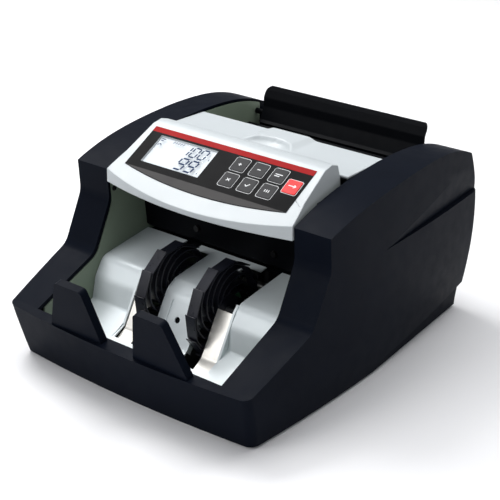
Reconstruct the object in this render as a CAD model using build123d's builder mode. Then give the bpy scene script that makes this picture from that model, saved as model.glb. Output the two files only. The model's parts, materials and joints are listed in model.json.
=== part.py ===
"""Banknote counting machine: hopper on top, stacker pocket in front. Front faces -Y, +Z up, millimetres."""

import os
from math import cos, radians, sin

from build123d import *

# ---- Driving dimensions ----
CLEAR_HALF = 94.6           # half the clear width between the side frames
FRAME = 2.0                 # side frame sheet
WALL = 2.6                  # housing wall
HALF_OUTER = 134.0          # beyond the housing's widest half-width
SHEET = 1.6                 # stacker and guide sheet
RUNNING = 0.05              # radial play of a shaft in its bearing
GAP = 0.3                   # play between separate moving bodies
SHAFT = 4.0                 # radius of each shaft
TO_MIDDLE = -3.15           # from the drawing's origin, along Y, to the middle of the footprint

DRIVE = (27.0, 92.0)        # shaft centres in the side view (Y, Z)
FEED = (82.0, 107.0)
PRESSURE = (-1.3, 99.6)
IMPELLER = (-60.0, 54.0)
MOTOR = (90.0, 52.0)
PLATE_PIVOT = (138.0, 142.0)

DRIVE_ROLLER = 20.0
FEED_ROLLER = 17.0
PRESSURE_ROLLER = 9.0
IMPELLER_RADIUS = 41.5
IMPELLER_INNER = 21.5       # inner face of each impeller, along X
IMPELLER_THICK = 10.0
FINGERS = 12
BEARING_RADIUS = 8.0
BEARING_HALF = 3.0

OVERLAY_HALF = 81.2
OVERLAY_LENGTH = 44.2
OVERLAY_PROUD = 0.4
KEY_SIZE = (12.7, 13.2)
KEY_PLACES = {
    "plus_key": (17.2, 30.0),
    "minus_key": (35.8, 30.0),
    "mode_key": (54.6, 30.0),
    "clear_key": (17.2, 13.2),
    "detect_key": (35.8, 13.2),
    "batch_key": (54.6, 13.2),
    "restart_key": (71.6, 23.4),
}
DISPLAY = (-69.8, -9.5, 6.8, 37.0)      # left, right, low, high on the overlay
PANEL = Plane(origin=(0, -53.4, 149.3), x_dir=(1, 0, 0), z_dir=(0, -0.4757, 0.8796))

os.makedirs("parts", exist_ok=True)


def save(piece, label):
    """Name one finished piece, put it over the middle of the footprint and write it as its own file."""
    placed = piece.part.moved(Location((0, TO_MIDDLE, 0)))
    placed.label = label
    export_step(placed, f"parts/{label}.step")


# ---- Shape helpers, used inside a part block ----
def block(x_from, x_to, y_from, y_to, z_from, z_to, mode=Mode.ADD):
    """Box between opposite corners."""
    middle = ((x_from + x_to) / 2, (y_from + y_to) / 2, (z_from + z_to) / 2)
    with Locations(middle):
        Box(abs(x_to - x_from), abs(y_to - y_from), abs(z_to - z_from), mode=mode)


def disc(centre, radius, x_from, x_to, mode=Mode.ADD):
    """Round bar along X."""
    with BuildSketch(Plane.YZ.offset(x_from)) as outline:
        with Locations(centre):
            Circle(radius)
    extrude(outline.sketch, amount=x_to - x_from, mode=mode)


def post(centre, radius, z_from, z_to, mode=Mode.ADD):
    """Round bar along Z."""
    with BuildSketch(Plane.XY.offset(z_from)) as outline:
        with Locations(centre):
            Circle(radius)
    extrude(outline.sketch, amount=z_to - z_from, mode=mode)


def side_prism(points, x_from, x_to, mode=Mode.ADD, rounding=None):
    """Closed side outline in (Y, Z), run along X. Rounding gives one radius to each corner."""
    with BuildSketch(Plane.YZ.offset(x_from)) as outline:
        with BuildLine():
            if rounding:
                FilletPolyline(*points, radius=rounding, close=True)
            else:
                Polyline(*points, close=True)
        make_face()
    extrude(outline.sketch, amount=x_to - x_from, mode=mode)


def bent_sheet(points, radii, shift, x_from, x_to, mode=Mode.ADD):
    """Bent sheet along X: the outer line in (Y, Z), and the same line shifted by the thickness."""
    lower = [(y + shift[0], z + shift[1]) for y, z in points]
    with BuildSketch(Plane.YZ.offset(x_from)) as outline:
        with BuildLine():
            FilletPolyline(*points, radius=radii)
            FilletPolyline(*lower, radius=radii)
            Line(points[0], lower[0])
            Line(points[-1], lower[-1])
        make_face()
    extrude(outline.sketch, amount=x_to - x_from, mode=mode)


def both_sides():
    """Copy everything so far to the other side of the middle plane."""
    mirror(about=Plane.YZ)


def pulley(centre, radius, x_from, x_to):
    """Flat belt pulley with a thin flange at each side, bored for its shaft."""
    disc(centre, radius, x_from, x_to)
    disc(centre, radius + 1.5, x_from, x_from + 0.8)
    disc(centre, radius + 1.5, x_to - 0.8, x_to)
    disc(centre, SHAFT, x_from, x_to, mode=Mode.SUBTRACT)


# ---- Housing ----
CORNER = 8.0                # upright corners of the housing


def plan_section(z, front, bow, corner_half, middle, rear_half, rear, inset):
    """Plan outline of the housing at one height: bowed front, barrel sides, round corners."""
    front_y = front + inset
    corner = (corner_half - inset, front_y + bow)
    widest = (middle[0] - inset, middle[1])
    back = (rear_half - inset, rear - inset)
    with BuildSketch(Plane.XY.offset(z)) as section:
        with BuildLine():
            ThreePointArc((-corner[0], corner[1]), (0, front_y), corner)
            ThreePointArc(corner, widest, back)
            Line(back, (-back[0], back[1]))
            ThreePointArc((-back[0], back[1]), (-widest[0], widest[1]), (-corner[0], corner[1]))
        make_face()
        fillet(section.vertices(), CORNER - inset)
    return section.sketch


def envelope(inset, bottom):
    """Smooth outer body of the housing, before the pocket and the arches are cut."""
    loft([
        plan_section(bottom, -145.0, 6.0, 118.3, (125.4, -15), 117.8, 158.0, inset),
        plan_section(60, -160.5, 6.5, 122.0, (129.8, 0), 124.0, 166.0, inset),
        plan_section(112, -175.0, 6.5, 119.5, (129.9, 15), 124.0, 166.2, inset),
        plan_section(176, -192.0, 6.5, 118.5, (129.0, 15), 122.0, 138.0, inset),
    ])


def arch_face(x, drop, shift_y, shift_z):
    """Everything below the lip, the sloped armrest and the arch, as a side face at one X."""
    crown = [(-28, 154.2 - drop / 3), (20, 161.5 - drop / 2), (75, 163.0 - drop / 4), (112, 159.5)]
    tail = (155, 145.5)
    low = [(-182, 42.5), (-145.2, 49.2), (-80, 75.4), (-59.4, 116.5), (-61.3, 143.7)]
    low = [(y + shift_y, z + shift_z) for y, z in low]
    top = [(y + shift_y, z + shift_z) for y, z in crown]
    end = (tail[0] + shift_y, tail[1] + shift_z)
    with BuildSketch(Plane.YZ.offset(x)) as face:
        with BuildLine():
            FilletPolyline(*low, radius=[6, 16, 20])
            Spline(low[-1], *top, end)
            Polyline(end, (190, end[1] - 30), (190, -20), (low[0][0], -20), low[0])
        make_face()
    return face.sketch


def below_arches(shift_y, shift_z):
    """Solid under the arches, whose tops fall by a few millimetres towards the outside."""
    inner = CLEAR_HALF - 4
    stations = [(-HALF_OUTER, 5.0), (-inner, 0), (inner, 0), (HALF_OUTER, 5.0)]
    loft([arch_face(x, drop, shift_y, shift_z) for x, drop in stations], ruled=True)


BOTTOM = 2.0                # the housing stands this far above the table, on its feet

with BuildPart() as outer_skin:
    envelope(0, BOTTOM)
with BuildPart() as outer_cap:
    below_arches(0, 0)
with BuildPart() as inner_skin:
    envelope(WALL, BOTTOM - 1)
with BuildPart() as inner_cap:
    below_arches(WALL, -WALL)


def low_step(grow):
    """The inset along the foot of the sides and the back, deeper towards the back."""
    edge = 126.0 - grow
    with BuildSketch(Plane.XY.offset(-5)) as side:
        with BuildLine():
            Polyline((edge, 2), (edge - 11, 172), (140, 172), (140, 2), close=True)
        make_face()
    extrude(side.sketch, amount=40)
    side_prism([(0, -5), (0, 5 + grow), (172, 28 + grow), (172, -5)], 90, 140, mode=Mode.INTERSECT)
    both_sides()
    side_prism([(175, 43.5 + grow), (161.5 - grow, 28.5 + grow), (155.5 - grow, 8),
                (154 - grow, -5), (175, -5)], -140, 140)


def side_scallops(grow):
    """The wedge scooped out of each side, from a point near the middle, deeper to the rear."""
    start = Vector(129.9 - grow, 11, 110)
    hollow = Plane(origin=start, x_dir=(-0.058, 0.998, 0), z_dir=(0.992, 0.058, -0.11))
    with BuildSketch(hollow) as wedge:
        with BuildLine():
            Polyline((-4 * grow, -grow), (170, 1.5 - grow), (170, 40 + grow), (60, 14 + 2 * grow),
                     close=True)
        make_face()
    extrude(wedge.sketch, amount=20)
    both_sides()


with BuildPart() as outer_foot:
    low_step(0)
    side_scallops(0)
with BuildPart() as inner_foot:
    low_step(WALL)
    side_scallops(WALL)
outer_body = (outer_skin.part & outer_cap.part) - outer_foot.part
inner_body = (inner_skin.part & inner_cap.part) - inner_foot.part


def stop_blade(play):
    """One stop plate: a leaning trapezoid whose foot plugs into the lip."""
    lean = Plane(origin=(0, -154 - play, 49), x_dir=(1, 0, 0), z_dir=(0, -0.977, -0.213))
    with BuildSketch(lean) as face:
        with BuildLine():
            Polyline((16.5 - play, -7), (69.7 + play, -7), (69.7 + play, 0), (54, 43.6),
                     (26.7, 43.6), (16.5 - play, 0), close=True)
        make_face()
        fillet(face.vertices().group_by(Axis.Z)[-1], 4)
    extrude(face.sketch, amount=-(7 + 2 * play))


SCREW_PLACES = [(-108, -122), (108, -122), (-108, 128), (108, 128)]


def screw_posts(mode=Mode.ADD, radius=4.0, z_from=4.4, z_to=26.0):
    """The four places where the base plate is screwed to the housing."""
    for place in SCREW_PLACES:
        post(place, radius, z_from, z_to, mode=mode)


INLET = (-88.0, 62.0)       # rear fittings (X, Z)
SWITCH = (-88.0, 86.0)
FUSE = (-60.0, 62.0)
REAR_WALL = 169.0           # outer face of the rear fittings
REAR_FLANGE = 167.6         # inner face of their flanges
LEDGE = 138.5               # top of the housing behind the hopper plate
COVER = (-42.0, 86.0, 50.0, 118.0)      # rear cover: left, right, low, high

with BuildPart() as blades:
    stop_blade(0.15)
    both_sides()

with BuildPart() as main_housing:
    add(outer_body)
    add(inner_body, mode=Mode.SUBTRACT)
    # open between the arches, from the lip to the rear wall
    block(-CLEAR_HALF, CLEAR_HALF, -145.2, 146, 40, 200, mode=Mode.SUBTRACT)
    # low ledge behind the hopper plate, with the arches closed off beside it
    block(-CLEAR_HALF, CLEAR_HALF, 140, 180, LEDGE, 200, mode=Mode.SUBTRACT)
    block(-CLEAR_HALF - 1, CLEAR_HALF + 1, 146, 166, LEDGE - WALL, LEDGE)
    for side in (-1, 1):
        block(side * CLEAR_HALF, side * (CLEAR_HALF + FRAME), 143, 168, 120, 160)
    # pillars for the base screws, ribbed to the side walls
    screw_posts()
    for x, y in SCREW_PLACES:
        outward = 1 if x > 0 else -1
        block(x + outward * 3, x + outward * 14, y - 1, y + 1, 4.4, 26)
    screw_posts(Mode.SUBTRACT, 1.5, 4, 20)
    add(outer_body, mode=Mode.INTERSECT)
    add(blades.part, mode=Mode.SUBTRACT)
    # openings in the rear wall
    block(COVER[0], COVER[1], 150, 180, COVER[2], COVER[3], mode=Mode.SUBTRACT)
    block(INLET[0] - 14.2, INLET[0] + 14.2, 150, 180, INLET[1] - 10.2, INLET[1] + 10.2,
          mode=Mode.SUBTRACT)
    block(SWITCH[0] - 10.2, SWITCH[0] + 10.2, 150, 180, SWITCH[1] - 7.2, SWITCH[1] + 7.2,
          mode=Mode.SUBTRACT)
    with BuildSketch(Plane.XZ.offset(-150)) as fuse_hole:
        with Locations(FUSE):
            Circle(7.2)
    extrude(fuse_hole.sketch, amount=-30, mode=Mode.SUBTRACT)
save(main_housing, "main_housing")

with BuildPart() as right_stop:
    stop_blade(0)
save(right_stop, "right_stop_plate")

with BuildPart() as left_stop:
    add(mirror(right_stop.part, about=Plane.YZ, mode=Mode.PRIVATE))
save(left_stop, "left_stop_plate")

with BuildPart() as rear_cover:
    add(outer_body)
    add(inner_body, mode=Mode.SUBTRACT)
    block(COVER[0] + 0.3, COVER[1] - 0.3, 150, 180, COVER[2] + 0.3, COVER[3] - 0.3,
          mode=Mode.INTERSECT)
    for step in range(7):
        z = COVER[2] + 14 + 6 * step
        block(-8, 52, 150, 180, z, z + 2.4, mode=Mode.SUBTRACT)
save(rear_cover, "rear_cover")

# ---- Base and frames ----
PLATE_LOW = 2.2
PLATE_TOP = 4.4
FOOT_PLACES = [(-96, -118), (96, -118), (-96, 118), (96, 118)]

with BuildPart() as base_plate:
    outline = plan_section(PLATE_LOW, -144.8, 6.0, 117.6, (123.2, -15), 114.6, 152.5, WALL + 0.5)
    extrude(outline, amount=PLATE_TOP - PLATE_LOW)
    for place in FOOT_PLACES:
        post(place, 3.0, 2, 5, mode=Mode.SUBTRACT)
    for place in SCREW_PLACES:
        post(place, 1.7, 2, 5, mode=Mode.SUBTRACT)
save(base_plate, "base_plate")

with BuildPart() as feet:
    for place in FOOT_PLACES:
        post(place, 9.0, 0, PLATE_LOW)
        post(place, 2.9, PLATE_LOW, PLATE_TOP)
save(feet, "feet")

TIE_BARS = [(-105, 12), (52, 16), (132, 90)]
TIE_RADIUS = 4.0


def side_frame():
    """Right side frame: a sheet under the arch with a foot flange, bored for the shafts."""
    extrude(arch_face(CLEAR_HALF, 0, WALL + 0.7, -WALL - 0.9), amount=FRAME)
    block(CLEAR_HALF, CLEAR_HALF + FRAME, -138, 142.5, PLATE_TOP, 200, mode=Mode.INTERSECT)
    block(CLEAR_HALF - 12, CLEAR_HALF + FRAME, -128, 128, PLATE_TOP, PLATE_TOP + FRAME)
    far = CLEAR_HALF + 2 * FRAME
    for centre in (DRIVE, FEED, IMPELLER):
        disc(centre, BEARING_RADIUS, 80, far, mode=Mode.SUBTRACT)
    disc(PRESSURE, SHAFT, 80, far, mode=Mode.SUBTRACT)
    disc(MOTOR, SHAFT + 1, 80, far, mode=Mode.SUBTRACT)
    disc(PLATE_PIVOT, 2.5 + RUNNING, 80, far, mode=Mode.SUBTRACT)


with BuildPart() as right_frame:
    side_frame()
save(right_frame, "right_frame")

with BuildPart() as left_frame:
    add(mirror(right_frame.part, about=Plane.YZ, mode=Mode.PRIVATE))
save(left_frame, "left_frame")

with BuildPart() as tie_bars:
    for centre in TIE_BARS:
        disc(centre, TIE_RADIUS, -CLEAR_HALF, CLEAR_HALF)
save(tie_bars, "tie_bars")

with BuildPart() as shaft_bearings:
    middle = CLEAR_HALF + FRAME / 2
    for centre in (DRIVE, FEED, IMPELLER):
        disc(centre, BEARING_RADIUS - 0.02, middle - BEARING_HALF, middle + BEARING_HALF)
        disc(centre, SHAFT + RUNNING, 80, 110, mode=Mode.SUBTRACT)
    both_sides()
save(shaft_bearings, "shaft_bearings")

# ---- Stacker pocket ----
SLOT_IN = 19.0
SLOT_OUT = 50.0
FLOOR_END = (-136.0, 10.5)
RAMP_TOP = (-75.0, 64.0)
RAMP_FOOT = (-110.0, 23.0)
PLATE_EDGE = CLEAR_HALF - 0.4
SHEET_SHIFT = (1.4, -1.2)   # from the plate's face to its underside

with BuildPart() as stacker_plate:
    # flanks beside the wheels
    bent_sheet([(-14, 76), (-43, 72.6), (-70, 69.2), (-80, 54.6), (-84.5, 35.5), RAMP_FOOT, FLOOR_END],
               [30, 12, 20, 3, 30], SHEET_SHIFT, SLOT_OUT, PLATE_EDGE)
    # gussets from the ramp line to the recessed flanks
    side_prism([(-70, 69.2), RAMP_TOP, (-95, 29), RAMP_FOOT, (-109, 21), (-84.5, 34), (-79.6, 53),
                (-68, 67)], SLOT_OUT - SHEET, SLOT_OUT + 0.4)
    both_sides()
    # floor across the front, and the middle ramp
    bent_sheet([(-107.5, 24), RAMP_FOOT, FLOOR_END], [2], SHEET_SHIFT, -SLOT_OUT - 0.2, SLOT_OUT + 0.2)
    bent_sheet([(-14, 76), (-43, 72.6), (-65, 69.8), RAMP_TOP, (-95, 29), RAMP_FOOT], [30, 8, 14, 8],
               SHEET_SHIFT, -SLOT_IN, SLOT_IN)
    side_prism([(-14, 76), (-22.5, 75), (-21.1, 73.8), (-12.6, 74.8)], -34, 34)
    for side in (-1, 1):
        side_prism([(-40, 71), (-66, 68), (-76, 61), (-95, 27.5), (-92, 24), (-66, 58), (-40, 62)],
                   side * (SLOT_IN - SHEET), side * SLOT_IN)
    # window for the pocket sensor
    pad = Plane(origin=(0, -84.8, 45.6), x_dir=(1, 0, 0), z_dir=(0, -0.868, 0.496))
    with BuildSketch(pad) as recess:
        RectangleRounded(20, 29, 1.2)
    extrude(recess.sketch, amount=5, mode=Mode.SUBTRACT)
    with BuildSketch(pad) as window:
        Circle(2.6)
    extrude(window.sketch, amount=5, both=True, mode=Mode.SUBTRACT)
save(stacker_plate, "stacker_plate")

with BuildPart() as stacker_strips:
    bent_sheet([(-74, 62.5), (-94.5, 27.5), (-104, 22.0), (-122, 14.5)], [8, 6], (0.6, -0.8), 32.8, 47.8)
    both_sides()
save(stacker_strips, "stacker_strips")

with BuildPart() as strip_clips:
    bent_sheet([(-112, 22.6), (-118, 24.4), (-124, 17.6)], [1.5], (0, 0.8), 36, 46)
    both_sides()
save(strip_clips, "strip_clips")

with BuildPart() as bumpers:
    for x in (27, 53):
        side_prism([(-118, 19.8), (-118, 25), (-126, 22), (-126, 16.4)], x, x + 6)
    both_sides()
save(bumpers, "bumpers")

# ---- Impellers ----
def rim_point(radius, angle):
    """Point on a circle, angle in degrees from +Y towards +Z."""
    return (radius * cos(radians(angle)), radius * sin(radians(angle)))


def impeller_wheel():
    """Stacker wheel: fingers that trail as it turns forward over the top, each with a flat tip."""
    with BuildSketch(Plane.YZ.offset(IMPELLER_INNER)) as wheel:
        with Locations(IMPELLER):
            Circle(14)
            with PolarLocations(0, FINGERS):
                add(finger.sketch)
    extrude(wheel.sketch, amount=IMPELLER_THICK)
    disc(IMPELLER, SHAFT, 0, 60, mode=Mode.SUBTRACT)


FINGER_START = 8            # angle of the first root, in degrees
FINGER_SWEEP = 142          # from root to tip, in degrees
STATIONS = [(12.0, 0.0), (20.0, 0.21), (28.0, 0.42), (35.2, 0.63), (39.2, 0.79)]
FINGER_ROOT = 2.4           # thickness at the root
FINGER_TAPER = 1.5          # how much thinner it is at its bend
FINGER_TIP = 1.0            # thickness at the tip

with BuildSketch() as finger:
    outer = [rim_point(radius, FINGER_START - FINGER_SWEEP * part) for radius, part in STATIONS]
    inner = [rim_point(radius - FINGER_ROOT + FINGER_TAPER * part, FINGER_START - FINGER_SWEEP * part)
             for radius, part in STATIONS]
    tip = [rim_point(IMPELLER_RADIUS - inset, FINGER_START - FINGER_SWEEP) for inset in (0, FINGER_TIP)]
    with BuildLine():
        Spline(*outer)
        Polyline(outer[-1], tip[0], tip[1], inner[-1])
        Spline(*reversed(inner))
        Line(inner[0], outer[0])
    make_face()

with BuildPart() as right_impeller:
    impeller_wheel()
save(right_impeller, "right_impeller")

with BuildPart() as left_impeller:
    add(mirror(right_impeller.part, about=Plane.YZ, mode=Mode.PRIVATE))
save(left_impeller, "left_impeller")

# ---- Shafts, rollers, pulleys and belts ----
BELT_A = (100.0, 106.0)     # motor belt, along X
BELT_B = (108.0, 114.0)     # impeller belt
BELT_C = (-106.0, -100.0)   # feed belt, in the left side
MOTOR_PULLEY = 9.0
DRIVE_PULLEY = 18.0
SMALL_PULLEY = 10.0
FEED_PULLEY = 14.0
IMPELLER_PULLEY = 20.0
BELT = 1.4


def roller_row(centre, radius, core):
    """Rubber rollers in pairs, bored for their shaft or core."""
    for x in (28, 60):
        disc(centre, radius, x, x + 12)
    both_sides()
    disc(centre, core, -80, 80, mode=Mode.SUBTRACT)


with BuildPart() as impeller_shaft:
    disc(IMPELLER, SHAFT, -99.5, 115)
save(impeller_shaft, "impeller_shaft")

with BuildPart() as impeller_pulley:
    pulley(IMPELLER, IMPELLER_PULLEY, *BELT_B)
save(impeller_pulley, "impeller_pulley")

with BuildPart() as drive_shaft:
    disc(DRIVE, SHAFT, -114, 115)
save(drive_shaft, "drive_shaft")

with BuildPart() as drive_rollers:
    roller_row(DRIVE, DRIVE_ROLLER, SHAFT)
save(drive_rollers, "drive_rollers")

with BuildPart() as drive_pulleys:
    pulley(DRIVE, DRIVE_PULLEY, *BELT_A)
    pulley(DRIVE, SMALL_PULLEY, *BELT_B)
    pulley(DRIVE, SMALL_PULLEY, *BELT_C)
save(drive_pulleys, "drive_pulleys")

with BuildPart() as encoder_disc:
    disc(DRIVE, 16, -111, -109.8)
    with BuildSketch(Plane.YZ.offset(-112)) as marks:
        with Locations(DRIVE):
            with PolarLocations(13, 24):
                Rectangle(3, 1.2)
    extrude(marks.sketch, amount=4, mode=Mode.SUBTRACT)
    disc(DRIVE, SHAFT, -120, -100, mode=Mode.SUBTRACT)
save(encoder_disc, "encoder_disc")

with BuildPart() as feed_shaft:
    disc(FEED, SHAFT, -107, 99.5)
save(feed_shaft, "feed_shaft")

with BuildPart() as feed_rollers:
    disc(FEED, FEED_ROLLER, 28, 40)
    both_sides()
    disc(FEED, SHAFT, -80, 80, mode=Mode.SUBTRACT)
save(feed_rollers, "feed_rollers")

with BuildPart() as feed_pulley:
    pulley(FEED, FEED_PULLEY, *BELT_C)
save(feed_pulley, "feed_pulley")

with BuildPart() as pressure_axle:
    disc(PRESSURE, SHAFT - 0.02, -CLEAR_HALF - FRAME, CLEAR_HALF + FRAME)
save(pressure_axle, "pressure_axle")

with BuildPart() as pressure_rollers:
    roller_row(PRESSURE, PRESSURE_ROLLER, SHAFT + RUNNING)
save(pressure_rollers, "pressure_rollers")

with BuildPart() as motor:
    disc(MOTOR, 26, 34, CLEAR_HALF)
    disc(MOTOR, 9, 28, 34)
    disc(MOTOR, SHAFT + RUNNING, 50, 120, mode=Mode.SUBTRACT)
save(motor, "motor")

with BuildPart() as motor_rotor:
    pulley(MOTOR, MOTOR_PULLEY, *BELT_A)
    disc(MOTOR, SHAFT, 50.5, 108)
save(motor_rotor, "motor_rotor")



def belt_outline(start, start_radius, end, end_radius, grow):
    """Two circles and the quadrilateral between their outer tangents."""
    line = Vector(*end) - Vector(*start)
    along = line.normalized()
    across = Vector(-along.Y, along.X)
    slant = (start_radius - end_radius) / line.length
    rise = (1 - slant ** 2) ** 0.5
    upper = along * slant + across * rise
    lower = along * slant - across * rise
    first, last = start_radius + grow, end_radius + grow
    with Locations(start):
        Circle(first)
    with Locations(end):
        Circle(last)
    Polygon(Vector(*start) + upper * first, Vector(*end) + upper * last,
            Vector(*end) + lower * last, Vector(*start) + lower * first, align=None)


def drive_belt(start, start_radius, end, end_radius, x_from, x_to):
    """Flat belt round two pulleys, just clear of them."""
    for grow, mode in ((GAP + BELT, Mode.ADD), (GAP, Mode.SUBTRACT)):
        with BuildSketch(Plane.YZ.offset(x_from + 1.1)) as loop:
            belt_outline(start, start_radius, end, end_radius, grow)
        extrude(loop.sketch, amount=x_to - x_from - 2.2, mode=mode)


with BuildPart() as motor_belt:
    drive_belt(MOTOR, MOTOR_PULLEY, DRIVE, DRIVE_PULLEY, *BELT_A)
save(motor_belt, "motor_belt")

with BuildPart() as impeller_belt:
    drive_belt(DRIVE, SMALL_PULLEY, IMPELLER, IMPELLER_PULLEY, *BELT_B)
save(impeller_belt, "impeller_belt")

with BuildPart() as feed_belt:
    drive_belt(DRIVE, SMALL_PULLEY, FEED, FEED_PULLEY, *BELT_C)
save(feed_belt, "feed_belt")

# ---- Note path ----
with BuildPart() as note_guide:
    bent_sheet([(-12.5, 77.5), (-15.5, 80.5), (-18, 104), (-20.5, 127), (-24, 149)], [1.5, 20, 20],
               (1.6, 0.2), -PLATE_EDGE, PLATE_EDGE)
    block(-PLATE_EDGE, PLATE_EDGE, -22.5, -14, 126.2, 127.8)
    for x in (-58, -14, 26, 70):
        block(x - 0.8, x + 0.8, -16.5, -8, 112, 126.5)
save(note_guide, "note_guide")

with BuildPart() as exit_chute:
    bent_sheet([(4, 85), (1, 73.5), (-11.8, 73.5)], [6], (0, -1.6), -PLATE_EDGE, PLATE_EDGE)
save(exit_chute, "exit_chute")

with BuildPart() as hopper_floor:
    bent_sheet([(126, 134.7), (46, 114), (43.5, 106)], [3], (0, -1.6), -PLATE_EDGE, PLATE_EDGE)
    for x in (-41, 27):
        block(x, x + 14, 66, 98, 100, 140, mode=Mode.SUBTRACT)
save(hopper_floor, "hopper_floor")

with BuildPart() as magnetic_head:
    block(-10, 10, 14, 26, 113.5, 122)
save(magnetic_head, "magnetic_head")

with BuildPart() as violet_lamp:
    disc((24, 140), 7.5, -60, 60)
    disc((24, 140), 8.5, -68, -60)
    disc((24, 140), 8.5, 60, 68)
save(violet_lamp, "violet_lamp")

# ---- Feed cover, retard pad and hopper plate ----
COVER_REAR = 63.5
SCOOP = (2.0, 10.0)         # centre of the finger scoop (X, Y)
SCOOP_RADIUS = 28.5
SCOOP_DEPTH = 5.0
dish = (SCOOP_RADIUS ** 2 + SCOOP_DEPTH ** 2) / (2 * SCOOP_DEPTH)

with BuildPart() as feed_cover:
    bent_sheet([(8, 163), (61.8, 161.6), (COVER_REAR, 128)], [4], (-2, -2.2), -94, 94)
    block(-94, 94, 50, COVER_REAR - 0.2, 126, 129)
    # raised hump with the finger scoop in front of it
    rings = []
    for z, centre_y, half_x, half_y in ((160, 42, 27, 20), (163.5, 42, 23, 18), (165.6, 41, 16, 12)):
        with BuildSketch(Plane.XY.offset(z)) as ring:
            with Locations((SCOOP[0], centre_y)):
                Ellipse(half_x, half_y)
        rings.append(ring.sketch)
    loft(rings)
    block(-30, 34, 8, 40, 155.5, 161.5)
    with Locations((SCOOP[0], SCOOP[1], 163.2 - SCOOP_DEPTH + dish)):
        Sphere(dish, mode=Mode.SUBTRACT)
    block(-94, 94, 4, 8, 120, 175, mode=Mode.SUBTRACT)
save(feed_cover, "feed_cover")

with BuildPart() as retard_bracket:
    side_prism([(34, 159.3), (46, 159.3), (46, 122), (41.5, 113.5), (34, 119)], -24, 24)
    with BuildSketch(Plane.XY.offset(118)) as screw_hole:
        with Locations((0, 40)):
            Circle(2.1)
    extrude(screw_hole.sketch, amount=40, mode=Mode.SUBTRACT)
    block(-30, 34, 30, 40.2, 155.3, 163, mode=Mode.SUBTRACT)
save(retard_bracket, "retard_bracket")

with BuildPart() as retard_pad:
    side_prism([(34, 119), (41.5, 113.5), (41.1, 112.0), (33, 117.4)], -22, 22)
save(retard_pad, "retard_pad")

PLATE_HALF = 85.0

with BuildPart() as hopper_plate:
    bent_sheet([(142.5, 167.5), (139.3, 164.0), (135.9, 157.5), (135.4, 149.2), (130.7, 138),
                (127.9, 135.8)], [3, 6, 6, 2], (1.9, -0.6), -PLATE_HALF, PLATE_HALF)
    for side, align in ((-1, Align.MAX), (1, Align.MIN)):
        with BuildSketch(Plane.XZ.offset(-125)) as corner:
            with Locations((side * (PLATE_HALF - 6), 161.4)):
                Rectangle(7, 7, align=(align, Align.MIN))
                Circle(6, mode=Mode.SUBTRACT)
        extrude(corner.sketch, amount=-30, mode=Mode.SUBTRACT)
    for side in (-1, 1):
        disc(PLATE_PIVOT, 4.0, side * 76, side * PLATE_HALF)
        block(side * 76, side * 83, 134.5, 138, 139, 145)
        disc(PLATE_PIVOT, 2.5, side * 76, side * (CLEAR_HALF + FRAME + 1))
save(hopper_plate, "hopper_plate")

# ---- Control panel ----
SKIN = 2.5                  # panel skin under the overlay
LIP_LOW = 133.0             # underside of the panel's front lip
PANEL_HALF = CLEAR_HALF - 0.4


def panel_outline(z, half_front, half_back, inset):
    """Plan outline of the panel at one height, bowed in front."""
    with BuildSketch(Plane.XY.offset(z)) as plan:
        with BuildLine():
            front = (half_front - inset, -62 + inset)
            ThreePointArc((-front[0], front[1]), (0, -75.4 + inset), front)
            Polyline(front, (half_back - inset, -42), (half_back - 1.5 - inset, 7.2 - inset),
                     (1.5 + inset - half_back, 7.2 - inset), (inset - half_back, -42),
                     (-front[0], front[1]))
        make_face()
    return plan.sketch


def panel_block(inset):
    """Sides of the panel lean in towards the top."""
    loft([panel_outline(120, PANEL_HALF, PANEL_HALF, inset),
          panel_outline(178, PANEL_HALF - 1.4, 87.0, inset)], ruled=True)


def on_panel(x_from, x_to, s_from, s_to, low, high, corner=0.0, mode=Mode.ADD):
    """Block on the sloping panel: X and up-slope ranges, heights above the panel's surface."""
    with BuildSketch(PANEL.offset(low)) as face:
        with Locations(((x_from + x_to) / 2, (s_from + s_to) / 2)):
            if corner:
                RectangleRounded(x_to - x_from, s_to - s_from, corner)
            else:
                Rectangle(x_to - x_from, s_to - s_from)
    extrude(face.sketch, amount=high - low, mode=mode)


def key_block(place, grow, low, high, mode=Mode.ADD):
    """Rounded key shape round one key's centre."""
    half_wide = KEY_SIZE[0] / 2 + grow
    half_high = KEY_SIZE[1] / 2 + grow
    on_panel(place[0] - half_wide, place[0] + half_wide, place[1] - half_high, place[1] + half_high,
             low, high, 1.2 + grow, mode)


def panel_point(slope, height):
    """Side-view point at a distance up the panel's slope and a height over its surface."""
    place = PANEL.from_local_coords(Vector(0, slope, height))
    return (place.Y, place.Z)


with BuildPart() as panel_cavity:
    panel_block(SKIN)
    side_prism([panel_point(-34, -SKIN), panel_point(45, -SKIN), (-3, 170.6), (2.8, 168.8),
                (4.7, 162), (4.7, 130), (-84, 100)], -100, 100, mode=Mode.INTERSECT)

with BuildPart() as control_panel:
    panel_block(0)
    side_prism([panel_point(-34, 0), panel_point(47, 0), (-3, 173.4), (5.4, 170.8), (7.2, 163),
                (7.2, 150), (-26, 150), (-42, LIP_LOW), (-90, LIP_LOW)], -100, 100,
               mode=Mode.INTERSECT)
    add(panel_cavity.part, mode=Mode.SUBTRACT)
    on_panel(DISPLAY[0], DISPLAY[1], DISPLAY[2], DISPLAY[3], -8, 8, mode=Mode.SUBTRACT)
    for place in KEY_PLACES.values():
        key_block(place, GAP, -8, 8, mode=Mode.SUBTRACT)
save(control_panel, "control_panel")

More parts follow.
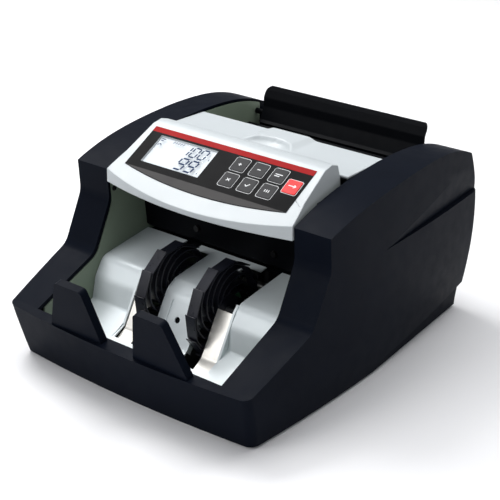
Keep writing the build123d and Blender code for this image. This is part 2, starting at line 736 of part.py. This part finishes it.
with BuildPart() as keypad_overlay:
    with BuildSketch(PANEL) as film:
        with BuildLine():
            ThreePointArc((-OVERLAY_HALF, 0), (0, -9.2), (OVERLAY_HALF, 0))
            Polyline((OVERLAY_HALF, 0), (OVERLAY_HALF, OVERLAY_LENGTH),
                     (-OVERLAY_HALF, OVERLAY_LENGTH), (-OVERLAY_HALF, 0))
        make_face()
        fillet(film.vertices().group_by(Axis.Y)[-1], 2)
    extrude(film.sketch, amount=OVERLAY_PROUD)
    on_panel(DISPLAY[0], DISPLAY[1], DISPLAY[2], DISPLAY[3], -8, 8, mode=Mode.SUBTRACT)
    for place in KEY_PLACES.values():
        key_block(place, GAP, -8, 8, mode=Mode.SUBTRACT)
save(keypad_overlay, "keypad_overlay")

with BuildPart() as display_window:
    on_panel(DISPLAY[0] + 0.1, DISPLAY[1] - 0.1, DISPLAY[2] + 0.1, DISPLAY[3] - 0.1,
             -1.2, OVERLAY_PROUD)
save(display_window, "display_window")

with BuildPart() as display_module:
    on_panel(DISPLAY[0] + 0.5, DISPLAY[1] - 0.5, DISPLAY[2] + 0.5, DISPLAY[3] - 0.5, -SKIN, -1.3)
    on_panel(DISPLAY[0] - 3, DISPLAY[1] + 3, DISPLAY[2] - 3, DISPLAY[3] + 3, -9, -SKIN - 0.1)
save(display_module, "display_module")

for key_name, place in KEY_PLACES.items():
    with BuildPart() as key:
        key_block(place, 0, -2.7, OVERLAY_PROUD + 0.6)
        key_block(place, 0.8, -3.8, -2.7)
    save(key, key_name)

# ---- Fasteners ----
with BuildPart() as screws:
    for place in SCREW_PLACES:
        post(place, 3.2, 0.9, PLATE_LOW)
        post(place, 1.45, PLATE_LOW, 16)
    for x in (-36, 44):
        with BuildSketch(Plane.XZ.offset(17.2)) as head:
            with Locations((x, 92)):
                Circle(2.6)
        extrude(head.sketch, amount=1.8)
save(screws, "screws")

# ---- Electrical fittings ----
with BuildPart() as light_sensors:
    # two bars across the note path, a fork round the encoder disc, and the pocket's eye
    block(-70, 70, -9.5, -3.5, 81, 88)
    block(-70, 70, 12, 18, 62, 69)
    block(-114, -107, 44.5, 52, 86, 98)
    block(-111.6, -109.2, 40, 48, 80, 104, mode=Mode.SUBTRACT)
    with BuildSketch(pad.offset(-SHEET)) as eye:
        Rectangle(16, 16)
    extrude(eye.sketch, amount=-5)
save(light_sensors, "light_sensors")

with BuildPart() as circuit_boards:
    on_panel(4, 81, 3, 40, -6.4, -4.8)
    block(-80, 80, -8, 44, 8, 9.6)
    for x in (-70, 70):
        for y in (-2, 38):
            post((x, y), 3, PLATE_TOP, 8)
    for x, y, tall in ((-50, 10, 14), (-25, 28, 7), (5, 8, 3), (30, 25, 9), (58, 12, 12)):
        block(x - 8, x + 8, y - 6, y + 6, 9.6, 9.6 + tall / 2)
save(circuit_boards, "circuit_boards")

with BuildPart() as transformer:
    block(-72, -22, 64, 108, PLATE_TOP, 44)
    block(-66, -28, 56, 116, 10, 38)
save(transformer, "transformer")

with BuildPart() as power_inlet:
    block(INLET[0] - 14, INLET[0] + 14, 144, REAR_FLANGE, INLET[1] - 10, INLET[1] + 10)
    block(INLET[0] - 16, INLET[0] + 16, REAR_FLANGE, REAR_WALL, INLET[1] - 12, INLET[1] + 12)
    block(INLET[0] - 12, INLET[0] + 12, 152, 180, INLET[1] - 8, INLET[1] + 8, mode=Mode.SUBTRACT)
    for x, z in ((-7, -2), (0, 2), (7, -2)):
        block(INLET[0] + x - 1, INLET[0] + x + 1, 151, 165, INLET[1] + z - 2.5, INLET[1] + z + 2.5)
save(power_inlet, "power_inlet")

with BuildPart() as switch_body:
    block(SWITCH[0] - 10, SWITCH[0] + 10, 150, REAR_WALL, SWITCH[1] - 7, SWITCH[1] + 7)
    block(SWITCH[0] - 8, SWITCH[0] + 8, 157, 180, SWITCH[1] - 6, SWITCH[1] + 6, mode=Mode.SUBTRACT)
save(switch_body, "switch_body")

with BuildPart() as power_rocker:
    side_prism([(169.6, SWITCH[1] + 4.6), (168.2, SWITCH[1]), (168.6, SWITCH[1] - 4.9),
                (161.8, SWITCH[1] - 4), (161.8, SWITCH[1] + 4)], SWITCH[0] - 7.6, SWITCH[0] + 7.6)
save(power_rocker, "power_rocker")

with BuildPart() as fuse_holder:
    with BuildSketch(Plane.XZ.offset(-142)) as barrel:
        with Locations(FUSE):
            Circle(7)
    extrude(barrel.sketch, amount=-(REAR_FLANGE - 142))
    with BuildSketch(Plane.XZ.offset(-REAR_FLANGE)) as cap:
        with Locations(FUSE):
            Circle(8.5)
    extrude(cap.sketch, amount=REAR_FLANGE - REAR_WALL)
save(fuse_holder, "fuse_holder")
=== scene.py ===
"""Looks of the banknote counting machine: materials, printed and moulded detail, studio and camera."""

import json
from math import cos, pi, radians, sin

import bpy
from mathutils import Matrix, Vector


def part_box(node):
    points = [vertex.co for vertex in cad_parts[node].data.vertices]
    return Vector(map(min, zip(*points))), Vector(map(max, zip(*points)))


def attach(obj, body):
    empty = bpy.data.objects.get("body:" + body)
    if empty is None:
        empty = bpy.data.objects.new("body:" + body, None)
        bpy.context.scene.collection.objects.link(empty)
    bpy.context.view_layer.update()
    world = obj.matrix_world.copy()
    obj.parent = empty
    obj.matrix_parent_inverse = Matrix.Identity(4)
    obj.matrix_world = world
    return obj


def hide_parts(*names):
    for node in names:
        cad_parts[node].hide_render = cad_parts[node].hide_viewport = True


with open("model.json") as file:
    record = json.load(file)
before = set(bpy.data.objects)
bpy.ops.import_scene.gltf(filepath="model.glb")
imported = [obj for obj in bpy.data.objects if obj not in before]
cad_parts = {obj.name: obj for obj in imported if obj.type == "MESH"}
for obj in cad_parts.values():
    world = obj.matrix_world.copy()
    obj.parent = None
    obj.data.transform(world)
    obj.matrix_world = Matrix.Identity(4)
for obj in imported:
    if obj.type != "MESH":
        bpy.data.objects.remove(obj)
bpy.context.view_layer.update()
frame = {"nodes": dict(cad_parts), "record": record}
nodes = frame["nodes"]
MM = 0.001
CHASSIS = "chassis"

# ---- Sizes shared with the CAD model, in millimetres ----
TO_MIDDLE = -3.15
PANEL_ORIGIN = Vector((0, -53.4 + TO_MIDDLE, 149.3))
SLOPE = Vector((0, 0.8796, 0.4757))
NORMAL = Vector((0, -0.4757, 0.8796))
OVERLAY_HALF = 81.2
OVERLAY_LENGTH = 44.2
OVERLAY_TOP = 0.4
BAND_LOW = 38.9
KEY_TOP = 1.0
KEY_HALF = (6.35, 6.6)
KEYS = {
    "plus_key": (17.2, 30.0),
    "minus_key": (35.8, 30.0),
    "mode_key": (54.6, 30.0),
    "clear_key": (17.2, 13.2),
    "detect_key": (35.8, 13.2),
    "batch_key": (54.6, 13.2),
    "restart_key": (71.6, 23.4),
}


# ---- Materials ----
GRAIN_DEPTH = 0.00006       # metres


def new_material(name):
    """Empty principled material: returns it with its node tree and shader."""
    made = bpy.data.materials.new(name)
    made.use_nodes = True
    return made, made.node_tree, made.node_tree.nodes["Principled BSDF"]


def noise(tree, scale, detail=3.0, stretch=(1, 1, 1)):
    """Noise in the object's own coordinates; scale is in features per metre."""
    place = tree.nodes.new("ShaderNodeTexCoord")
    spread = tree.nodes.new("ShaderNodeMapping")
    spread.inputs["Scale"].default_value = stretch
    grain = tree.nodes.new("ShaderNodeTexNoise")
    grain.inputs["Scale"].default_value = scale
    grain.inputs["Detail"].default_value = detail
    tree.links.new(place.outputs["Object"], spread.inputs["Vector"])
    tree.links.new(spread.outputs["Vector"], grain.inputs["Vector"])
    return grain.outputs["Fac"]


def ramp(tree, value, low, high, start=0.3, end=0.7):
    """Spread a value between two greys or colours."""
    made = tree.nodes.new("ShaderNodeValToRGB")
    for stop, place, colour in zip(made.color_ramp.elements, (start, end), (low, high)):
        stop.position = place
        stop.color = (*colour, 1) if isinstance(colour, tuple) else (colour, colour, colour, 1)
    tree.links.new(value, made.inputs["Fac"])
    return made.outputs["Color"]


def bump(tree, shader, height, strength, depth):
    """Fine relief from a height value, depth in metres."""
    made = tree.nodes.new("ShaderNodeBump")
    made.inputs["Strength"].default_value = strength
    made.inputs["Distance"].default_value = depth
    tree.links.new(height, made.inputs["Height"])
    tree.links.new(made.outputs["Normal"], shader.inputs["Normal"])


def surface(name, colour, rough, metal=0.0, grain=0.0, grain_scale=2600, vary=0.12, patch=24,
            stretch=(1, 1, 1), specular=0.5):
    """Plastic, paint or metal: slow colour change, uneven gloss and a fine grain."""
    made, tree, shader = new_material(name)
    shader.inputs["Metallic"].default_value = metal
    shader.inputs["Specular IOR Level"].default_value = specular
    dark = tuple(c * (1 - vary) for c in colour)
    light = tuple(min(1.0, c * (1 + vary)) for c in colour)
    slow = noise(tree, patch, 4)
    tree.links.new(ramp(tree, slow, dark, light), shader.inputs["Base Color"])
    smear = noise(tree, patch * 4, 6, stretch)
    tree.links.new(ramp(tree, smear, rough * 0.88, rough * 1.12), shader.inputs["Roughness"])
    if grain:
        bump(tree, shader, noise(tree, grain_scale, 2, stretch), grain, GRAIN_DEPTH)
    return made


def see_through(name, colour, alpha, rough):
    """Clear cover: mostly open, with a gloss."""
    made, tree, shader = new_material(name)
    shader.inputs["Alpha"].default_value = alpha
    shader.inputs["Base Color"].default_value = (*colour, 1)
    shader.inputs["Specular IOR Level"].default_value = 0.1
    smear = noise(tree, 60, 3)
    tree.links.new(ramp(tree, smear, rough * 0.8, rough * 1.3), shader.inputs["Roughness"])
    return made


def glowing(name, colour, strength):
    """Back-lit display face, very slightly uneven."""
    made, tree, shader = new_material(name)
    slow = noise(tree, 30, 1)
    tone = ramp(tree, slow, tuple(c * 0.94 for c in colour), colour)
    tree.links.new(tone, shader.inputs["Base Color"])
    tree.links.new(tone, shader.inputs["Emission Color"])
    shader.inputs["Emission Strength"].default_value = strength
    shader.inputs["Roughness"].default_value = 0.5
    return made


MATERIALS = {
    "housing": surface("housing_plastic", (0.0036, 0.0052, 0.0098), 0.42, grain=0.25, vary=0.1,
                       specular=0.025),
    "frame_steel": surface("side_frame_paint", (0.22, 0.275, 0.205), 0.5, grain=0.12, vary=0.05,
                           specular=0.3),
    "base_steel": surface("base_paint", (0.03, 0.03, 0.033), 0.5, 0.3, grain=0.2),
    "silver_plate": surface("silver_paint", (0.74, 0.80, 0.82), 0.38, 0.12, grain=0.1,
                            grain_scale=5200, vary=0.04),
    "polished_steel": surface("polished_steel", (0.82, 0.80, 0.75), 0.34, 0.6, grain=0.0,
                              stretch=(1, 0.05, 0.05), vary=0.03),
    "bright_steel": surface("turned_steel", (0.55, 0.55, 0.56), 0.28, 1.0, grain=0.15,
                            stretch=(1, 0.1, 0.1)),
    "black_plastic": surface("black_plastic", (0.003, 0.0034, 0.0045), 0.4, grain=0.2, specular=0.03),
    "white_plastic": surface("white_plastic", (0.47, 0.505, 0.52), 0.32, grain=0.06, vary=0.012,
                             specular=0.3),
    "overlay_film": surface("overlay_film", (0.0022, 0.0022, 0.0027), 0.3, grain=0.05, vary=0.05,
                            specular=0.02),
    "display_glass": see_through("display_glass", (0.95, 0.97, 0.98), 0.06, 0.08),
    "display_grey": glowing("display_face", (0.50, 0.545, 0.58), 0.3),
    "key_grey": surface("key_grey", (0.040, 0.040, 0.042), 0.45, grain=0.15, specular=0.06),
    "key_red": surface("key_red", (0.72, 0.004, 0.005), 0.4, grain=0.12, vary=0.04, specular=0.2),
    "rubber": surface("rubber", (0.009, 0.009, 0.010), 0.7, grain=0.4, grain_scale=1500,
                      specular=0.2),
    "blue_rubber": surface("wheel_rubber", (0.010, 0.011, 0.018), 0.3, grain=0.15,
                           grain_scale=1800, vary=0.25, patch=60, specular=0.4),
    "board_green": surface("board_green", (0.02, 0.11, 0.045), 0.35, grain=0.2, vary=0.2),
    "motor_steel": surface("motor_paint", (0.06, 0.06, 0.065), 0.4, 0.5, grain=0.2),
    "violet_glass": see_through("violet_glass", (0.12, 0.05, 0.30), 0.7, 0.1),
    "brass": surface("bearing_bronze", (0.55, 0.38, 0.16), 0.35, 1.0, grain=0.2),
}
PRINT_RED = surface("print_red", (0.30, 0.002, 0.003), 0.4, grain=0.05, vary=0.04, specular=0.04)
PRINT_GREY = surface("print_grey", (0.042, 0.040, 0.040), 0.35, grain=0.05, vary=0.05,
                     specular=0.05)
PRINT_LIGHT = surface("print_light", (0.62, 0.63, 0.64), 0.4, grain=0.05, vary=0.05)
DARK_SCREW = surface("dark_screw", (0.012, 0.012, 0.013), 0.4, 0.6, grain=0.1, specular=0.3)
DISPLAY_INK = surface("display_ink", (0.012, 0.030, 0.085), 0.6, grain=0.05, vary=0.15,
                      specular=0.1)


# ---- Carried-over CAD nodes ----
BEVELS = {
    "main_housing": 1.3, "control_panel": 1.6, "left_stop_plate": 1.0, "right_stop_plate": 1.0,
    "hopper_plate": 0.5, "stacker_plate": 0.4, "left_frame": 0.3, "right_frame": 0.3,
    "left_impeller": 0.35, "right_impeller": 0.35, "stacker_strips": 0.2, "rear_cover": 0.5,
    "bumpers": 0.6, "base_plate": 0.4, "feet": 0.8, "hopper_floor": 0.4, "note_guide": 0.3,
    "power_inlet": 0.4, "switch_body": 0.4, "power_rocker": 0.6, "fuse_holder": 0.5,
    "retard_bracket": 0.6, "transformer": 1.0, "motor": 0.8, "circuit_boards": 0.2,
}
KEY_BEVEL = 0.3
SMALL_BEVEL = 0.15
WIDE_BEVEL = 0.9            # from here up an edge round gets three segments
WELD_REACH = 1e-6           # metres
SHARP_ANGLE = radians(32)
FACE_WEIGHT = 50


def finish_node(name, slot):
    """Material, smooth shading, small edge rounds and level flat faces on one CAD node."""
    made = nodes[name]
    made.data.materials.clear()
    made.data.materials.append(MATERIALS[slot])
    for face in made.data.polygons:
        face.use_smooth = True
        face.material_index = 0
    weld = made.modifiers.new("weld", "WELD")
    weld.merge_threshold = WELD_REACH
    width = BEVELS.get(name, KEY_BEVEL if name in KEYS else SMALL_BEVEL)
    edge = made.modifiers.new("edges", "BEVEL")
    edge.width = width * MM
    edge.segments = 3 if width > WIDE_BEVEL else 2
    edge.limit_method = "ANGLE"
    edge.angle_limit = SHARP_ANGLE
    edge.use_clamp_overlap = True
    level = made.modifiers.new("flat_faces", "WEIGHTED_NORMAL")
    level.weight = FACE_WEIGHT
    level.keep_sharp = True


for entry in frame["record"]["subparts"]:
    finish_node(entry["node"], entry["material_slot"])
nodes["screws"].data.materials[0] = DARK_SCREW


# ---- Mesh helpers ----
def on_panel(x, s, height):
    """Point on the sloping panel, in metres."""
    return (PANEL_ORIGIN + Vector((x, 0, 0)) + SLOPE * s + NORMAL * height) * MM


def make_piece(name, points, faces, body, material, smooth=False):
    """Mesh piece from points and faces, riding on a body."""
    mesh = bpy.data.meshes.new(name)
    mesh.from_pydata([tuple(p) for p in points], [], faces)
    mesh.validate()
    for face in mesh.polygons:
        face.use_smooth = smooth
    made = bpy.data.objects.new(name, mesh)
    bpy.context.scene.collection.objects.link(made)
    mesh.materials.append(material)
    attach(made, body)
    return made


def printed(name, shapes, low, high, body, material):
    """Flat closed outlines in panel coordinates, raised as thin prints."""
    points, faces = [], []
    for shape in shapes:
        start, count = len(points), len(shape)
        points += [on_panel(x, s, low) for x, s in shape]
        points += [on_panel(x, s, high) for x, s in shape]
        faces.append([start + count + i for i in range(count)])
        faces.append([start + i for i in reversed(range(count))])
        for i in range(count):
            after = (i + 1) % count
            faces.append([start + i, start + after, start + count + after, start + count + i])
    return make_piece(name, points, faces, body, material)


def bar(start, end, width):
    """Straight stroke as a four-cornered outline, counter-clockwise."""
    a, b = Vector(start), Vector(end)
    along = (b - a).normalized()
    side = Vector((-along.y, along.x)) * width / 2
    return [tuple(a - side), tuple(b - side), tuple(b + side), tuple(a + side)]


def rounded(centre, half, corner, steps=5):
    """Rounded rectangle outline, counter-clockwise."""
    outline = []
    for turn, (sx, sy) in enumerate(((1, -1), (1, 1), (-1, 1), (-1, -1))):
        middle = (centre[0] + sx * (half[0] - corner), centre[1] + sy * (half[1] - corner))
        for i in range(steps + 1):
            angle = radians(turn * 90 - 90 + 90 * i / steps)
            outline.append((middle[0] + corner * cos(angle), middle[1] + corner * sin(angle)))
    return outline


def ring_pieces(outer, inner):
    """Quads between two outlines with the same number of points."""
    count = len(outer)
    return [[outer[i], outer[(i + 1) % count], inner[(i + 1) % count], inner[i]] for i in range(count)]


# ---- Panel print ----
PRINT = 0.06                # thickness of the printed ink
FILM = OVERLAY_TOP
CRESCENT_MARGIN = 1.5
CRESCENT_DEPTH = 8.7
FIGURE_LEAN = 0.18
STROKE_PART = 0.22          # stroke width as a part of a figure's width
STROKE_GAP = 0.43           # shortening of a stroke's ends, in stroke widths
printed("overlay_red_band",
        [[(-OVERLAY_HALF, BAND_LOW), (OVERLAY_HALF, BAND_LOW), (OVERLAY_HALF, OVERLAY_LENGTH),
          (-OVERLAY_HALF, OVERLAY_LENGTH)]], FILM, FILM + PRINT, CHASSIS, PRINT_RED)


def crescent(half, depth, steps=24):
    """Area between the straight lower edge and the bowed one."""
    lower = []
    for i in range(steps + 1):
        x = -half + 2 * half * i / steps
        lower.append((x, -depth * (1 - (x / half) ** 2)))
    return lower


printed("overlay_grey_crescent", [crescent(OVERLAY_HALF - CRESCENT_MARGIN, CRESCENT_DEPTH)],
        FILM, FILM + PRINT, CHASSIS, PRINT_GREY)

SEGMENTS = {"0": "abcdef", "1": "bc", "9": "abcdfg"}


def digit(value, left, low, wide, tall):
    """Seven-segment figure made of slanted strokes."""
    thick = wide * STROKE_PART
    gap = thick * STROKE_GAP
    half = tall / 2
    lines = {
        "a": ((0, tall), (wide, tall)), "g": ((0, half), (wide, half)), "d": ((0, 0), (wide, 0)),
        "b": ((wide, half), (wide, tall)), "c": ((wide, 0), (wide, half)),
        "f": ((0, half), (0, tall)), "e": ((0, 0), (0, half)),
    }
    shapes = []
    for key in SEGMENTS[value]:
        a, b = (Vector(p) for p in lines[key])
        along = (b - a).normalized() * gap
        shape = bar(a + along, b - along, thick)
        shapes.append([(left + x + FIGURE_LEAN * y, low + y) for x, y in shape])
    return shapes


# figures, left edge, pitch, lower edge, width and height of each row
DISPLAY_ROWS = (("100", -40.4, 8.6, 23.8, 6.0, 10.0), ("99", -36.6, 10.2, 8.8, 7.2, 12.0))
# generic status marks as start, end and width: two bars, a chevron, five slanted strokes, two ticks
STATUS_MARKS = [
    ((-66.5, 33.6), (-62.5, 33.6), 0.8),
    ((-66.5, 31.8), (-63.5, 31.8), 0.8),
    ((-66.5, 26.6), (-64.5, 28.6), 0.8),
    ((-64.5, 28.6), (-62.5, 26.6), 0.8),
    *[((-53.5 + 2.5 * step, 31.8), (-52.2 + 2.5 * step, 34.0), 0.7) for step in range(5)],
    ((-11.6, 24.6), (-11.6, 26.4), 0.6),
    ((-12.9, 9.4), (-12.9, 11.4), 0.6),
]
marks = []
for figures, left, pitch, low, wide, tall in DISPLAY_ROWS:
    for place, value in enumerate(figures):
        marks += digit(value, left + pitch * place, low, wide, tall)
marks += [bar(*mark) for mark in STATUS_MARKS]
printed("display_figures", marks, FILM, FILM + PRINT, CHASSIS, DISPLAY_INK)

OUTLINE_EDGES = ((0.75, 1.9), (0.35, 1.5))      # growth over the key and corner radius


def key_edge(place, grow, corner):
    """Outline around a key, grown on every side."""
    return rounded(place, (KEY_HALF[0] + grow, KEY_HALF[1] + grow), corner)


outlines = []
for place in KEYS.values():
    outlines += ring_pieces(*[key_edge(place, grow, corner) for grow, corner in OUTLINE_EDGES])
printed("key_outlines", outlines, FILM, FILM + PRINT, CHASSIS, PRINT_LIGHT)

LEGENDS = {
    "plus_key": [((-1.5, 0), (1.5, 0)), ((0, -1.5), (0, 1.5))],
    "minus_key": [((-1.5, 0), (1.5, 0))],
    "mode_key": [((-3.4, 0.9), (3.4, 0.9)), ((-3.4, -0.9), (1.2, -0.9))],
    "clear_key": [((-1.6, -1.2), (1.6, 1.2)), ((-1.6, 1.2), (1.6, -1.2))],
    "detect_key": [((-2, 0), (-0.4, -1.4)), ((-0.4, -1.4), (2, 1.4))],
    "batch_key": [((-1.8, -1.2), (-1.8, 1.2)), ((0, -1.2), (0, 1.2)), ((1.8, -1.2), (1.8, 1.2))],
    "restart_key": [((-3.6, 0.6), (2.8, 0.6)), ((1.2, 2.0), (3.2, 0.6)), ((1.2, -0.8), (3.2, 0.6))],
}
LEGEND_STROKE = 0.75
for name, strokes in LEGENDS.items():
    x, s = KEYS[name]
    shapes = [bar((x + a[0], s + a[1]), (x + b[0], s + b[1]), LEGEND_STROKE) for a, b in strokes]
    printed(f"{name}_legend", shapes, KEY_TOP, KEY_TOP + PRINT, f"{name}_body",
            PRINT_LIGHT)


# ---- Feed cover with its hump and finger scoop ----
SCOOP_X, SCOOP_Y = 2.0, 10.0
SCOOP_RADIUS = 28.5
SCOOP_DEPTH = 4.6
SCOOP_STEEPNESS = 5
HUMP_HALF = 26              # half width
HUMP_EASE = 9               # how far its sides take to fall
HUMP_TALL = 2.6
RIM_EASE, RIM_START = 0.12, 0.35    # rise of the hump at the scoop's rim

COVER_FRONT_Z = 162.4
COVER_FALL = 0.026          # drop per millimetre towards the back
COVER_BACK_Z = 161.1
COVER_BEND = 4.0            # radius of the bend at the back
SKIRT_TOP = 157.1
SKIRT_TALL = 31
SKIRT_RELIEF = 0.5          # part of the relief that is left at the skirt's top
COLUMNS = 176
TOP_ROWS, BEND_ROWS, SKIRT_ROWS = 44, 10, 10
COVER_THICK = 2


def smooth_step(value):
    """Eased 0 to 1."""
    value = max(0.0, min(1.0, value))
    return value * value * (3 - 2 * value)


def cover_relief(x, y):
    """Height of the hump over the flat cover, less the depth of the scoop in front of it."""
    across, back = x - SCOOP_X, y - SCOOP_Y - TO_MIDDLE
    reach = (across ** 2 + back ** 2) ** 0.5 / SCOOP_RADIUS
    if reach < 1:
        return -SCOOP_DEPTH * (1 - reach ** SCOOP_STEEPNESS)
    shoulder = smooth_step((HUMP_HALF - abs(across)) / HUMP_EASE)
    return HUMP_TALL * shoulder * smooth_step((reach - 1) / RIM_EASE + RIM_START)


def feed_cover_mesh():
    """Top of the feed cover as a fine grid that turns down at the back."""
    low, high = (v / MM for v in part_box("feed_cover"))
    front, back = low.y, high.y
    bend_y = back - COVER_BEND
    bend_end = TOP_ROWS + BEND_ROWS
    rows = bend_end + SKIRT_ROWS
    points, faces = [], []
    for i in range(COLUMNS + 1):
        x = low.x + (high.x - low.x) * i / COLUMNS
        for j in range(rows + 1):
            if j <= TOP_ROWS:
                y = front + (bend_y - front) * j / TOP_ROWS
                z = COVER_FRONT_Z - COVER_FALL * (y - front) + cover_relief(x, y)
            elif j <= bend_end:
                angle = (j - TOP_ROWS) / BEND_ROWS * pi / 2
                lift = cover_relief(x, bend_y)
                y = bend_y + COVER_BEND * sin(angle)
                z = COVER_BACK_Z + lift * (1 - angle / pi) - COVER_BEND + COVER_BEND * cos(angle)
            else:
                y = back
                drop = (j - bend_end) / SKIRT_ROWS
                lift = cover_relief(x, bend_y) * SKIRT_RELIEF
                z = SKIRT_TOP + lift * (1 - drop) - SKIRT_TALL * drop
            points.append(Vector((x, y, z)) * MM)
    stride = rows + 1
    for i in range(COLUMNS):
        for j in range(rows):
            a = i * stride + j
            faces.append([a, a + stride, a + stride + 1, a + 1])
    return points, faces


points, faces = feed_cover_mesh()
cover = make_piece("feed_cover_shell", points, faces, CHASSIS,
                   MATERIALS["white_plastic"], smooth=True)
thick = cover.modifiers.new("thickness", "SOLIDIFY")
thick.thickness = COVER_THICK * MM
thick.offset = -1
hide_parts("feed_cover")


# ---- Frame screws ----
HEAD_RADIUS = 2.4
HEAD_TALL = 1.3
HEAD_STEPS = 36
HEAD_ROUND = 0.05
HEAD_SINK = 0.02
FRAME_FACE = 94.6
FRAME_SCREWS = ((-53.5, 124.5), (-112, 40), (52, 60))


def screw_head(name, place, outward):
    """Domed head with a hexagon socket, on a side frame; outward is +1 or -1 along X."""
    profile = [(1.0, 0.0, False), (1.0, 0.3, False), (0.94, 0.6, False), (0.8, 0.88, False),
               (0.62, 1.0, False), (0.5, 1.0, True), (0.47, 0.94, True), (0.45, 0.35, True)]
    points = []
    for reach, rise, hexagon in profile:
        for i in range(HEAD_STEPS):
            angle = 2 * pi * i / HEAD_STEPS
            flat = cos(pi / 6) / cos((angle % (pi / 3)) - pi / 6) if hexagon else 1.0
            across = HEAD_RADIUS * reach * flat
            points.append(Vector((place[0] + outward * HEAD_TALL * rise, place[1] + across * cos(angle),
                                  place[2] + across * sin(angle))) * MM)
    faces = []
    for ring in range(len(profile) - 1):
        for i in range(HEAD_STEPS):
            a, b = ring * HEAD_STEPS + i, ring * HEAD_STEPS + (i + 1) % HEAD_STEPS
            quad = [a, b, b + HEAD_STEPS, a + HEAD_STEPS]
            faces.append(quad if outward > 0 else quad[::-1])
    base = list(range(HEAD_STEPS))
    top = [(len(profile) - 1) * HEAD_STEPS + i for i in base]
    faces += [base[::-1], top] if outward > 0 else [base, top[::-1]]
    made = make_piece(name, points, faces, CHASSIS, DARK_SCREW, smooth=True)
    edges = made.modifiers.new("edges", "BEVEL")
    edges.width = HEAD_ROUND * MM
    edges.limit_method = "ANGLE"


for side, label in ((-1, "left"), (1, "right")):
    for index, (y, z) in enumerate(FRAME_SCREWS):
        screw_head(f"{label}_frame_screw_{index}",
                   (side * (FRAME_FACE - HEAD_SINK), y + TO_MIDDLE, z), -side)


# ---- Studio ----
FLOOR_REACH = 6.0
WORLD_COLOUR = (0.93, 0.95, 1.0, 1)
WORLD_STRENGTH = 0.35
# name, place, aim, size and power of each light
LIGHTS = (
    ("top_light", (-0.15, 0.15, 1.5), (0, 0, 0.1), (1.6, 1.2), 17),
    ("front_light", (-0.7, -1.5, 0.9), (0, -0.05, 0.08), (1.0, 0.8), 10),
    ("right_light", (1.8, -0.3, 0.7), (0, 0, 0.08), (0.5, 1.0), 2),
    ("back_light", (0.3, 1.6, 1.1), (0, 0, 0.12), (1.2, 0.5), 4),
    ("sheen_light", (-1.1, 0.35, 1.55), (0, 0, 0.1), (1.0, 0.7), 21),
)


def studio_floor():
    """Wide pale sheet under the object."""
    mesh = bpy.data.meshes.new("floor")
    corners = [(x * FLOOR_REACH, y * FLOOR_REACH, 0) for x, y in ((-1, -1), (1, -1), (1, 1), (-1, 1))]
    mesh.from_pydata(corners, [], [[0, 1, 2, 3]])
    made = bpy.data.objects.new("floor", mesh)
    bpy.context.scene.collection.objects.link(made)
    mesh.materials.append(surface("floor_paper", (0.86, 0.86, 0.87), 0.85, vary=0.01, patch=2))


def soft_light(name, place, aim, size, power):
    """White rectangular area light aimed at a point."""
    data = bpy.data.lights.new(name, "AREA")
    data.shape = "RECTANGLE"
    data.size, data.size_y = size
    data.energy = power
    made = bpy.data.objects.new(name, data)
    made.location = place
    made.rotation_euler = (Vector(aim) - Vector(place)).to_track_quat("-Z", "Y").to_euler()
    bpy.context.scene.collection.objects.link(made)


studio_floor()
for light in LIGHTS:
    soft_light(*light)

world = bpy.data.worlds.new("studio")
world.use_nodes = True
background = world.node_tree.nodes["Background"]
background.inputs["Color"].default_value = WORLD_COLOUR
background.inputs["Strength"].default_value = WORLD_STRENGTH
bpy.context.scene.world = world


# ---- Camera ----
AZIMUTH, ELEVATION, ROLL = radians(37.905), radians(24.788), radians(0.51)
CAMERA_PLACE = (0.5883, -0.7475 + TO_MIDDLE * MM, 0.5157)
LENS, SENSOR = 91.03, 36


def add_camera():
    """Camera at the reference view."""
    forward = Vector((-sin(AZIMUTH) * cos(ELEVATION), cos(AZIMUTH) * cos(ELEVATION), -sin(ELEVATION)))
    right = Vector((cos(AZIMUTH), sin(AZIMUTH), 0))
    up = right.cross(forward)
    camera_x = right * cos(ROLL) + up * sin(ROLL)
    camera_y = up * cos(ROLL) - right * sin(ROLL)
    data = bpy.data.cameras.new("camera")
    data.lens = LENS
    data.sensor_width = SENSOR
    made = bpy.data.objects.new("camera", data)
    turn = Matrix((camera_x, camera_y, -forward)).transposed()
    made.matrix_world = Matrix.Translation(CAMERA_PLACE) @ turn.to_4x4()
    bpy.context.scene.collection.objects.link(made)
    bpy.context.scene.camera = made


add_camera()
bpy.context.scene.view_settings.view_transform = "Standard"
